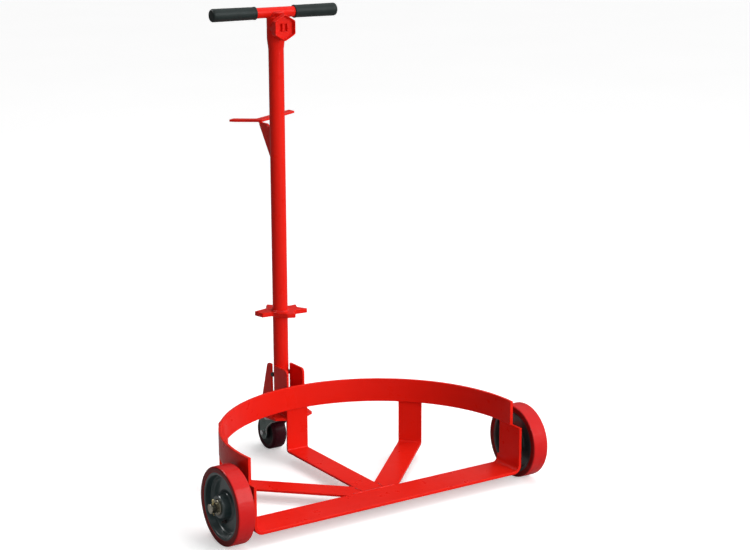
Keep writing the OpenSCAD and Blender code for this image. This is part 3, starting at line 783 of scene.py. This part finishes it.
merge("caster_bolt_washers_v", washers, M["zinc"], "frame", repl=["caster_bolt_washers"], slot="zinc_steel")

# fork: one pressed sheet, crown rolled into two legs with a lipped front edge
leg = [(KING_Y - 33, 82), (KING_Y + 42, 82), (CAX_Y + 17.3, CR + 30), (CAX_Y + 17, CR - 1.5), (CAX_Y + 12, CR - 13), (CAX_Y + 2, CR - 16.5), (CAX_Y - 8, CR - 13),
       (CAX_Y - 13, CR - 3), (CAX_Y - 12, CR + 6), (KING_Y + 8, 56.5), (KING_Y - 12, 72), (KING_Y - 33, 79)]
leg = rounded(leg, [1.5, 3, 14, 10, 8, 8, 8, 6, 10, 14, 16, 1.0], 6)
for s, nm in ((-1, "left"), (1, "right")):
    x0, x1 = (-21.5, -18.5) if s < 0 else (18.5, 21.5)
    prism("caster_fork_leg_%s_v" % nm, leg, lambda u, v, h: (h, u, v), x0, x1, M["czinc"], "caster_swivel", b=0.9, seg=4, slot="caster_zinc")
    # rolled lip along the concave front edge, much lighter than the fork as a painted highlight, and a raised dimple
    # round the axle
    edge = [(s * 21.3, KING_Y - 30, 79.0), (s * 21.5, KING_Y - 13, 73.0), (s * 21.6, KING_Y + 1, 64.0), (s * 21.6, KING_Y + 9, 57.5), (s * 21.5, CAX_Y - 12.8, CR + 9), (s * 21.4, CAX_Y - 13.0, CR - 1), (s * 21.2, CAX_Y - 10, CR - 9)]
    V, F = [], []
    tube_mesh(V, F, resample(edge, 1.5), lambda t, i: 1.5 * min(1.0, 0.35 + 6 * t, 0.35 + 6 * (1 - t)), n=10)
    make("caster_fork_lip_%s_v" % nm, V, F, M["bright_zinc_and_edge_highlight"], "caster_swivel", weighted=False, sharp=70, slot="caster_zinc")
    lathe("caster_fork_boss_%s_v" % nm, rounded([(4.05, 21.0), (10.5, 21.0), (9.0, 22.0), (4.05, 22.0)], [0.1, 0.1, 0.5, 0.1], 3), "x", (0, CAX_Y, CR), M["czinc"], "caster_swivel", n=48, sign=s, slot="caster_zinc")
crown = rounded([(-21.5, KING_Y - 33), (21.5, KING_Y - 33), (21.5, KING_Y + 42), (-21.5, KING_Y + 42)], 2, 4)
prism("caster_fork_crown_v", crown, lambda u, v, h: (u, v, h), 79, 82, M["czinc"], "caster_swivel", b=0.8, repl=["caster_fork"], slot="caster_zinc")
lathe("caster_fork_race_v", rounded([(6.06, 79), (24, 79), (24, 82.2), (21, 82.6), (21, 86.4), (6.06, 86.4)], [0.1, 1.2, 0.8, 0.5, 0.8, 0.1], 4), "z", kc, M["czinc"], "caster_swivel", n=72, slot="caster_zinc")
lathe("caster_race_cap_v", rounded([(21, 82), (23.4, 82), (23.4, 85.2), (22.2, 86.4), (21, 86.4)], [0.1, 0.3, 1.0, 0.6, 0.1], 4), "z", kc, M["race"], "caster_swivel",
      n=72, repl=["caster_race_cap"], slot="race_cap_steel")
ac = (0, CAX_Y, CR)
b1 = [lathe_raw(rounded([(0, -27.3), (5.2, -27.2), (5.4, -26.5), (0, -26.5)], [0, 0.3, 0.1, 0], 3), "x", ac, 32),
      lathe_raw(rounded([(0, -22), (4, -22), (4, 29), (0, 29)], [0, 0.1, 0.8, 0], 3), "x", ac, 28),
      turned_hex("", ac, "x", -1, 22.0, 26.7, 11.0, None, None, start=12)]
merge("caster_axle_bolt_v", b1, M["zinc"], "caster_swivel", repl=["caster_axle_bolt"], slot="zinc_steel")
b2 = [turned_hex("", ac, "x", 1, 22.0, 26.5, 12.4, None, None, start=5, hole=4.05),
      lathe_raw(rounded([(4.05, 26.3), (5.6, 26.3), (5.6, 28), (4.05, 28)], 0.5, 3), "x", ac, 32)]
merge("caster_axle_nut_v", b2, M["bright_zinc_and_edge_highlight"], "caster_swivel", repl=["caster_axle_nut"], slot="zinc_steel")
lathe("caster_bushing_v", rounded([(4.0, -18.5), (6.0, -18.5), (6.0, 18.5), (4.0, 18.5)], 0.3, 2), "x", ac, M["bearing"], "caster_swivel", n=40, repl=["caster_bushing"], slot="bearing_steel")
h = 16.5
ty = [(28, -h + 1.5), (31, -h + 0.2)] + [(CR - 5 + 5 * cos(rad(a)), -h + 5 + 5 * sin(rad(a))) for a in range(-80, 1, 10)]
ty += [(CR, -4), (CR, 4)]
ty += [(CR - 5 + 5 * cos(rad(a)), h - 5 + 5 * sin(rad(a))) for a in range(0, 81, 10)] + [(31, h - 0.2), (28, h - 1.5)]
lathe("caster_tyre_v", ty, "x", ac, M["ctyre"], "caster_wheel", n=120, sharp=60, repl=["caster_tyre"], slot="caster_rubber")
cp = [(6.06, -18), (10, -18), (11.5, -16), (13, -15), (28, -15), (28, 15), (13, 15), (11.5, 16), (10, 18), (6.06, 18)]
lathe("caster_core_v", rounded(cp, [0.2, 0.8, 1, 1.2, 0, 0, 1.2, 1, 0.8, 0.2], 3), "x", ac, M["ccore"], "caster_wheel", n=96, repl=["caster_core"], slot="caster_core_plastic")

# ----------------------------------------------------------------- handle
pc = (0, POST_Y, 0)
lathe("handle_post_v", rounded([(POST_RI, 101.1), (POST_R, 101.1), (POST_R, TB_Z - 6), (POST_RI, TB_Z - 6)], [0.6, 0.9, 0.8, 0.8], 3), "z", pc, M["handle"], "handle",
      n=96, repl=["handle_post"], slot="handle_paint")
tb = (TB_OFF, POST_Y, TB_Z)
lathe("tbar_tube_v", rounded([(TB_R - 2.5, -TB_HALF + 6.5), (TB_R, -TB_HALF + 6.5), (TB_R, TB_HALF - 6.5), (TB_R - 2.5, TB_HALF - 6.5)], 0.5, 2), "x", tb, M["handle"], "handle",
      n=72, repl=["tbar_tube"], slot="handle_paint")
for s, nm in ((-1, "left"), (1, "right")):
    g = GRIP_R
    gp = [(TB_R, GRIP_IN), (g + 0.0, GRIP_IN), (g + 0.0, GRIP_IN + 3.6), (g - 0.6, GRIP_IN + 4.9), (g - 0.45, 60.0), (g - 0.25, 100.0), (g - 0.1, 128.0), (g, TB_HALF), (0, TB_HALF), (0, TB_HALF - 6), (TB_R, TB_HALF - 6)]
    gr = [0.1, 1.1, 0.7, 0.8, 0, 0, 0, 4.8, 0, 0, 0.2]
    lathe("grip_%s_v" % nm, rounded(gp, gr, 6), "x", tb, M["grip"], "handle", n=96, sign=s, sharp=55, repl=["grip_%s" % nm], slot="grip_rubber")
lathe("cross_pin_v", rounded([(0, -24), (5, -24), (5, 24), (0, 24)], [0, 1.0, 1.0, 0], 4), "x", (0, POST_Y, PIN_Z), M["black"], "handle", n=48,
      repl=["cross_pin"], slot="black_pin")

# boss: a sleeve on the post and a stub towards the front, run together like one casting
def blend(name, parts, voxel, iters, mat, body, **kw):
    """Melts overlapping closed solids into one casting with soft inside corners."""
    V, F = [], []
    for v, fc in parts:
        o = len(V)
        V += v
        F += [tuple(i + o for i in t) for t in fc]
    me = bpy.data.meshes.new(name + "_raw")
    me.from_pydata([W(*v) for v in V], [], F)
    bm = bmesh.new()
    bm.from_mesh(me)
    bmesh.ops.remove_doubles(bm, verts=bm.verts, dist=2e-6)
    bmesh.ops.dissolve_degenerate(bm, dist=1e-6, edges=bm.edges)
    bmesh.ops.recalc_face_normals(bm, faces=bm.faces)
    bm.to_mesh(me)
    bm.free()
    o = bpy.data.objects.new(name + "_raw", me)
    COLL.objects.link(o)
    md = o.modifiers.new("melt", "REMESH")
    md.mode = "VOXEL"
    md.voxel_size = voxel * 0.001
    sm = o.modifiers.new("soften", "SMOOTH")
    sm.factor = 0.5
    sm.iterations = iters
    dg = bpy.context.evaluated_depsgraph_get()
    me2 = bpy.data.meshes.new_from_object(o.evaluated_get(dg), depsgraph=dg)
    me2.name = name
    bpy.data.objects.remove(o)
    bpy.data.meshes.remove(me)
    return finish_obj(name, me2, mat, body, weighted=False, sharp=80, **kw)


stub = lathe_raw(rounded([(0, 358.7), (18.6, 358.7), (18.6, POST_Y), (0, POST_Y)], [0, 0.8, 0.5, 0], 3), "y", (0, 0, HEX_Z), 64)
sleeve = lathe_raw(rounded([(0, HEX_Z - 48), (POST_R - 0.2, HEX_Z - 48), (18.9, HEX_Z - 25), (18.9, TB_Z - 8), (0, TB_Z - 8)], [0, 0.3, 12, 2.0, 0], 5), "z", (0, POST_Y, 0), 64)
toe = lathe_raw(rounded([(0, HEX_Z - 30), (7, HEX_Z - 27), (9.5, HEX_Z - 12), (0, HEX_Z - 6)], [0, 4, 4, 0], 4), "z", (0, POST_Y - 13.0, 0), 40)
blend("wrench_boss_v", [stub, sleeve, toe], 0.95, 7, M["handle"], "handle", repl=["wrench_boss"], slot="handle_paint")


def hex_head():
    """A hexagonal cup: thin rim, flat floor, and a square drive sunk in the floor."""
    HX, HY = 9.0, 8.0
    c0 = math.degrees(math.atan2(HY, HX))
    A = sorted(set([5.0 * i for i in range(72)] + [round(v + d0, 3) for v in (c0, 180 - c0, 180 + c0, 360 - c0) for d0 in (-2.0, 0.0, 2.0)]))
    V, F = [], []
    def hexr(R, t, soft):
        u = (t - 90 + 30) % 60 - 30          # corners at 90 + 60 i
        flat = R * cos(rad(30)) / cos(rad(30 - abs(u)))
        return min(flat, R - soft)
    def sq(a, b2, t):
        return min(a / max(1e-6, abs(cos(rad(t)))), b2 / max(1e-6, abs(sin(rad(t)))))
    rows = []
    def add(fn, y):
        rows.append([(fn(t) * cos(rad(t)), y, HEX_Z + fn(t) * sin(rad(t))) for t in A])
    add(lambda t: hexr(26.4, t, 0.5), 359.0)
    add(lambda t: hexr(27.4, t, 0.5), 358.6)
    add(lambda t: hexr(27.8, t, 0.5), 357.8)
    add(lambda t: hexr(27.8, t, 0.5), 344.4)
    add(lambda t: hexr(27.6, t, 0.5), 343.6)
    add(lambda t: hexr(27.1, t, 0.5), 343.1)
    add(lambda t: hexr(26.4, t, 0.5), 343.0)
    add(lambda t: hexr(25.8, t, 0.6), 343.5)
    add(lambda t: hexr(25.6, t, 0.7), 344.2)
    add(lambda t: hexr(25.3, t, 0.9), 350.8)
    add(lambda t: hexr(24.8, t, 1.0), 351.5)
    add(lambda t: hexr(24.0, t, 1.0), 351.7)
    add(lambda t: sq(HX + 1.0, HY + 1.0, t), 351.6)
    add(lambda t: sq(HX + 0.3, HY + 0.3, t), 351.9)
    add(lambda t: sq(HX, HY, t), 352.5)
    add(lambda t: sq(HX - 0.2, HY - 0.2, t), 357.4)
    k = len(A)
    for r_ in rows:
        V += r_
    for i in range(len(rows) - 1):
        for j in range(k):
            F.append((i * k + j, i * k + (j + 1) % k, (i + 1) * k + (j + 1) % k, (i + 1) * k + j))
    F.append(tuple(range(k))[::-1])
    F.append(tuple(range((len(rows) - 1) * k, len(rows) * k)))
    return V, F

V, F = hex_head()
# the drive's key: an upright rib across the socket
o_ = len(V)
kv = [(x, y, HEX_Z + z) for y in (351.9, 357.6) for x, z in rounded([(-2.2, -7.7), (1.8, -7.7), (1.8, 7.7), (-2.2, 7.7)], 0.7, 3)]
kn = len(kv) // 2
V += kv
F += [(o_ + j, o_ + (j + 1) % kn, o_ + kn + (j + 1) % kn, o_ + kn + j) for j in range(kn)]
F += [tuple(range(o_, o_ + kn))[::-1], tuple(range(o_ + kn, o_ + 2 * kn))]
make("hex_wrench_head_v", V, F, M["handle"], "handle", ngons=True, repl=["hex_wrench_head"], slot="handle_paint", sharp=30)

# hook plate and its gusset
HZ = 724.5
hp = [(-3, 445), (126, 527), (126, 551), (-2, 470), (-42, 500), (-58, 489), (-50, 478.5)]
prism("hook_plate_v", rounded(hp, [2, 1.2, 2.5, 5, 4, 1.5, 2], 4), lambda u, v, h: (u, v, h), HZ, HZ + 5, M["handle"], "handle", b=0.8, repl=["hook_plate"], slot="handle_paint")
gp = [(POST_Y + 14, 646), (POST_Y + 14, HZ - 5), (413, HZ - 5), (421, HZ), (452, HZ), (451, HZ - 6), (POST_Y + 16, 646)]
prism("hook_gusset_v", rounded(gp, [0, 0, 3, 2, 1, 2, 0], 3), lambda u, v, h: (h, u, v), -6, 0, M["handle"], "handle", b=0.7, repl=["hook_gusset"], slot="handle_paint")

# seal wrench plate
wp = [(-51, 406), (-46, 380), (-22, 378), (-16, 364), (-4, 346), (13, 340), (20, 362), (30, 366), (58, 364.5), (45, 389), (54, 410), (37, 408), (22, 414), (13, 430), (1, 444), (-8, 432), (-13, 417), (-28, 412)]
prism("seal_wrench_plate_v", rounded(wp, [2, 2, 5, 3, 2, 2, 5, 3, 2, 5, 2, 3, 5, 3, 2, 3, 5, 3], 4), lambda u, v, h: (u, v, h), 314.5, 324, M["handle"], "handle", b=0.9,
      repl=["seal_wrench_plate"], slot="handle_paint")

# ------------------------------------------------------------ weld beads
def beads(name, body, runs):
    V, F = [], []
    for i, (pts, r, closed) in enumerate(runs):
        weld(V, F, pts, r, closed, seed=3.1 * i + 0.7)
    o = make(name, V, F, M["weld"], body, sharp=70, weighted=False, slot="frame_paint" if body == "frame" else "handle_paint")
    return o

runs = []
# straps to the crossbar's rear edge and to each other
runs.append(([(-24, BAR_R, 29.2), (24, BAR_R, 29.2)], 1.5, False))
for s in (-1, 1):
    runs.append(([(s * 25.6, BAR_R + 1, 28.6), (s * 25.6, BAR_R + 14, 28.6)], 1.5, False))
    runs.append(([(s * 26, BAR_R + 0.2, 28.8), (s * 50, BAR_R + 0.2, 28.8)], 1.5, False))
    # fillet filling the V between the centre strap and this side strap
    runs.append(([(s * 26.5, BAR_R + 14, 28.2), (s * 26.8, BAR_R + 22, 28.2), (s * 27.5, BAR_R + 27, 28.0)], 2.4, False))
    # ring ends on the side plates, outside only: the inside is ground flush
    pts = [((RO + 0.2) * cos(rad(a)) * s, (RO + 0.2) * sin(rad(a)), BAND_Z0 + 0.2) for a in (-5.0, -3, -1, 1)]
    runs.append((pts, 2.0, False))
    # collar to side plate
    runs.append(([(s * (RO + 0.3), AX_Y + 15.2 * cos(rad(a)), WH_R + 15.2 * sin(rad(a))) for a in range(0, 360, 15)], 2.2, True))
# band to the straps: along the band's lower edge inside and up both sides outside
for ang in (90.0, 90.0 - ANG_R, 90.0 + ANG_L):
    d = Vector((cos(rad(ang)), sin(rad(ang)), 0)); p = Vector((-d.y, d.x, 0))
    for w in (-1, 1):
        e = d * (RO + 1.6) + p * (w * 26.2)
        runs.append(([(e.x, e.y, 124), (e.x, e.y, 161)], 2.0, False))
    a0 = math.degrees(24.0 / RO)
    pts = [((RO - 1.0) * cos(rad(ang + t)), (RO - 1.0) * sin(rad(ang + t)), BAND_Z0 - 0.3) for t in (-a0, -a0 / 2, 0, a0 / 2, a0)]
    runs.append((pts, 1.3, False))
# mount plate to the centre strap, cheeks to the plate and strap
runs.append(([(-24, STRAP_BACK + 0.6, PLATE_Z + PLATE_T + 0.3), (24, STRAP_BACK + 0.6, PLATE_Z + PLATE_T + 0.3)], 2.4, False))
runs.append(([(-24, STRAP_BACK + 0.6, PLATE_Z - 0.3), (24, STRAP_BACK + 0.6, PLATE_Z - 0.3)], 2.4, False))
for s in (-1, 1):
    runs.append(([(s * 22.3, STRAP_BACK + 6, PLATE_Z + PLATE_T + 0.4), (s * 22.3, POST_Y + 50, PLATE_Z + PLATE_T + 0.4)], 2.3, False))
    runs.append(([(s * 22.3, STRAP_BACK + 0.6, PLATE_Z + PLATE_T + 4), (s * 22.3, STRAP_BACK + 0.6, 160)], 2.0, False))
# spigot foot
runs.append(([(13.2 * cos(rad(a)), POST_Y + 13.2 * sin(rad(a)), PLATE_Z + PLATE_T - 0.9) for a in range(0, 360, 15)], 1.0, True))
beads("frame_welds", "frame", runs)

runs = []
# wrench plate to the post, above and below
for z in (324.3, 314.2):
    runs.append(([((POST_R + 0.4) * cos(rad(a)), POST_Y + (POST_R + 0.4) * sin(rad(a)), z) for a in range(0, 360, 12)], 2.6, True))
# T-bar to the post: the saddle where the two tubes meet
sad = []
for a in range(0, 360, 10):
    x = POST_R * cos(rad(a)); y = POST_R * sin(rad(a))
    yy = max(-TB_R + 0.4, min(TB_R - 0.4, y))
    z = TB_Z - math.sqrt(max(0.0, TB_R ** 2 - yy ** 2)) if abs(y) < TB_R else TB_Z - 0.5
    sad.append((x * 1.01, POST_Y + y * 1.0, z))
runs.append((sad, 2.6, True))
# gusset to the post and to the hook plate
for x in (-6.4, 0.4):
    yy = POST_Y + math.sqrt(POST_R ** 2 - x * x)
    runs.append(([(x, yy + 0.3, 650), (x, yy + 0.3, HZ - 8)], 1.8, False))
    runs.append(([(x, 448.5, HZ - 0.4), (x, 452, HZ - 0.4)], 1.4, False))
beads("handle_welds", "handle", runs)

# ------------------------------------------------------------------ stage
def plane(name, size, z):
    me = bpy.data.meshes.new(name)
    s = size / 2
    me.from_pydata([(-s, -s, z), (s, -s, z), (s, s, z), (-s, s, z)], [], [(0, 1, 2, 3)])
    o = bpy.data.objects.new(name, me)
    COLL.objects.link(o)
    return o

floor = plane("floor", 80.0, 0.0)
fm, nt, bs_, tc = new_mat("floor_pale")
lpf = nt.nodes.new("ShaderNodeLightPath")
lift = nt.nodes.new("ShaderNodeMath")
lift.operation = "MULTIPLY"
lift.inputs[1].default_value = 0.40
nt.links.new(lpf.outputs["Is Camera Ray"], lift.inputs[0])
bounce = (0.40, 0.40, 0.40)
nt.links.new(lift.outputs[0], bs_.inputs["Emission Strength"])
bs_.inputs["Emission Color"].default_value = (1.0, 1.0, 1.0, 1.0)
col = ramp(nt, nz(nt, tc, 1.2, 2.0), [(0.3, (0.90, 0.90, 0.90)), (0.7, (0.92, 0.92, 0.92))])
col = mix(nt, lpf.outputs["Is Camera Ray"], bounce, col)
nt.links.new(col, bs_.inputs["Base Color"])
bs_.inputs["Roughness"].default_value = 0.8
bs_.inputs["Specular IOR Level"].default_value = 0.1
floor.data.materials.append(fm)

# world: soft room light, dimmer on the left; the backdrop itself stays white
w = bpy.data.worlds.new("studio")
bpy.context.scene.world = w
w.use_nodes = True
nt = w.node_tree
for n in list(nt.nodes):
    nt.nodes.remove(n)
out = nt.nodes.new("ShaderNodeOutputWorld")
bg1 = nt.nodes.new("ShaderNodeBackground")
bg2 = nt.nodes.new("ShaderNodeBackground")
bg2.inputs[0].default_value = (1, 1, 1, 1)
bg2.inputs[1].default_value = 1.0
lp = nt.nodes.new("ShaderNodeLightPath")
mx = nt.nodes.new("ShaderNodeMixShader")
nt.links.new(lp.outputs["Is Camera Ray"], mx.inputs[0])
nt.links.new(bg1.outputs[0], mx.inputs[1])
nt.links.new(bg2.outputs[0], mx.inputs[2])
nt.links.new(mx.outputs[0], out.inputs[0])
tcw = nt.nodes.new("ShaderNodeTexCoord")
dotn = nt.nodes.new("ShaderNodeVectorMath")
dotn.operation = "DOT_PRODUCT"
nt.links.new(tcw.outputs["Generated"], dotn.inputs[0])
dv = Vector((0.64, -0.58, 0.50)).normalized()
dotn.inputs[1].default_value = tuple(dv)
mr = nt.nodes.new("ShaderNodeMapRange")
mr.interpolation_type = "SMOOTHSTEP"
mr.inputs["From Min"].default_value = -0.35
mr.inputs["From Max"].default_value = 0.90
mr.inputs["To Min"].default_value = 0.015
mr.inputs["To Max"].default_value = 1.10
nt.links.new(dotn.outputs["Value"], mr.inputs["Value"])
nt.links.new(mr.outputs["Result"], bg1.inputs[1])
bg1.inputs[0].default_value = (1, 1, 1, 1)


def area(name, loc, target, sx, sy, energy, diffuse=True, glossy=True):
    l = bpy.data.lights.new(name, "AREA")
    l.shape = "RECTANGLE"
    l.size, l.size_y, l.energy = sx, sy, energy
    o = bpy.data.objects.new(name, l)
    o.location = loc
    d = Vector(target) - Vector(loc)
    o.rotation_euler = d.to_track_quat("-Z", "Y").to_euler()
    COLL.objects.link(o)
    o.visible_diffuse = diffuse
    o.visible_glossy = glossy
    return o

area("key_softbox", (0.95, -2.95, 1.10), (-0.2, -0.2, 0.20), 1.5, 1.9, 46.0, glossy=False)
area("key_card", (1.10, -2.61, 1.95), (-0.354, -0.30, 0.10), 1.8, 2.0, 40.0, diffuse=False)
area("glint_strip", (-3.0, -2.5, 2.5), (-0.3, -0.2, 0.15), 0.25, 1.4, 14.0, diffuse=False)
area("rear_strip", (-1.25, 1.35, 2.4), (-0.35, -0.23, 0.08), 1.7, 0.8, 40.0, diffuse=False)
area("top_softbox", (0.8, 0.2, 3.8), (0.0, 0.0, 0.3), 2.6, 2.6, 42.0, glossy=False)

# ----------------------------------------------------------------- camera
YAW, PITCH, ROLL = rad(33.06), rad(13.37), rad(0.17)
F_PX = 1729.06
f = Vector((sin(YAW) * cos(PITCH), cos(YAW) * cos(PITCH), -sin(PITCH)))
r = Vector((cos(YAW), -sin(YAW), 0))
d = f.cross(r)
r2 = cos(ROLL) * r + sin(ROLL) * d
d2 = -sin(ROLL) * r + cos(ROLL) * d
cam = bpy.data.cameras.new("camera")
cam.sensor_fit = "HORIZONTAL"
cam.sensor_width = 36.0
cam.lens = F_PX * 36.0 / 750.0
cam.clip_start = 0.05
cam.clip_end = 200.0
co = bpy.data.objects.new("camera", cam)
COLL.objects.link(co)
loc = W(-1797.10, -2751.85, 1258.68)
m = Matrix(((r2.x, -d2.x, -f.x, loc.x), (r2.y, -d2.y, -f.y, loc.y), (r2.z, -d2.z, -f.z, loc.z), (0, 0, 0, 1)))
co.matrix_world = m
bpy.context.scene.camera = co
bpy.context.scene.view_settings.view_transform = "Standard"
bpy.context.scene.view_settings.look = "None"
